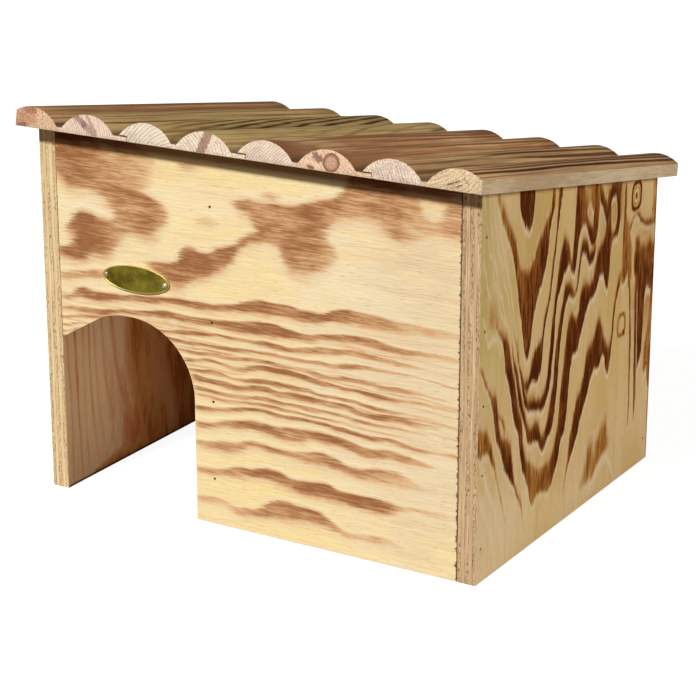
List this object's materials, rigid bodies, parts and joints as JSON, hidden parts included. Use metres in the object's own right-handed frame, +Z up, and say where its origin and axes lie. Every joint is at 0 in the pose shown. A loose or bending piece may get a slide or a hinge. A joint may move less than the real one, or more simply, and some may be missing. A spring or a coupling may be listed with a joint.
{
  "type": "wooden hedgehog house",
  "caption": "Wooden hedgehog house: plywood walls without a floor, an arched entrance, a labyrinth partition and a sloping lift-off roof of half-round profiled boards.",
  "frame": {"origin": "on the ground, under the middle of the roof's outline, which is the bounding box's bottom centre", "axes": "+Z up, +Y from the entrance front to the back, +X to the right seen from the front"},
  "size_m": [0.396, 0.3382, 0.3113],
  "materials": {
    "plywood": "flamed softwood plywood, oiled satin, dark burnt grain on a cream ground",
    "roof_board": "impregnated softwood, olive brown with darker streaks, pale sawn ends",
    "batten": "sawn softwood, matt",
    "brass": "stamped brass, satin, slightly tarnished",
    "steel": "plain steel wire, dull"
  },
  "bodies": {
    "house": {"front_wall": "plywood", "back_wall": "plywood", "left_side_wall": "plywood", "right_side_wall": "plywood", "partition_wall": "plywood", "name_plate": "brass", "plate_pin_left": "brass", "plate_pin_right": "brass", "partition_nail_1": "steel", "partition_nail_2": "steel", "partition_nail_3": "steel", "partition_nail_4": "steel", "left_front_nail_1": "steel", "left_front_nail_2": "steel", "left_front_nail_3": "steel", "right_front_nail_1": "steel", "right_front_nail_2": "steel", "right_front_nail_3": "steel", "right_front_nail_4": "steel", "right_front_nail_5": "steel", "left_rear_nail_1": "steel", "left_rear_nail_2": "steel", "left_rear_nail_3": "steel", "left_rear_nail_4": "steel", "right_rear_nail_1": "steel", "right_rear_nail_2": "steel", "right_rear_nail_3": "steel", "right_rear_nail_4": "steel"},
    "roof": {"roof_board_1": "roof_board", "roof_board_2": "roof_board", "roof_board_3": "roof_board", "roof_board_4": "roof_board", "front_batten": "batten", "rear_batten": "batten", "roof_screw_front_1": "steel", "roof_screw_front_2": "steel", "roof_screw_front_3": "steel", "roof_screw_front_4": "steel", "roof_screw_front_5": "steel", "roof_screw_front_6": "steel", "roof_screw_rear_1": "steel", "roof_screw_rear_2": "steel", "roof_screw_rear_3": "steel", "roof_screw_rear_4": "steel", "roof_screw_rear_5": "steel", "roof_screw_rear_6": "steel"}
  },
  "joints": [
    {"name": "roof_lift", "type": "slide", "parent": "house", "child": "roof", "axis": [0, 0, 1], "range_m": [0, 0.15]}
  ]
}
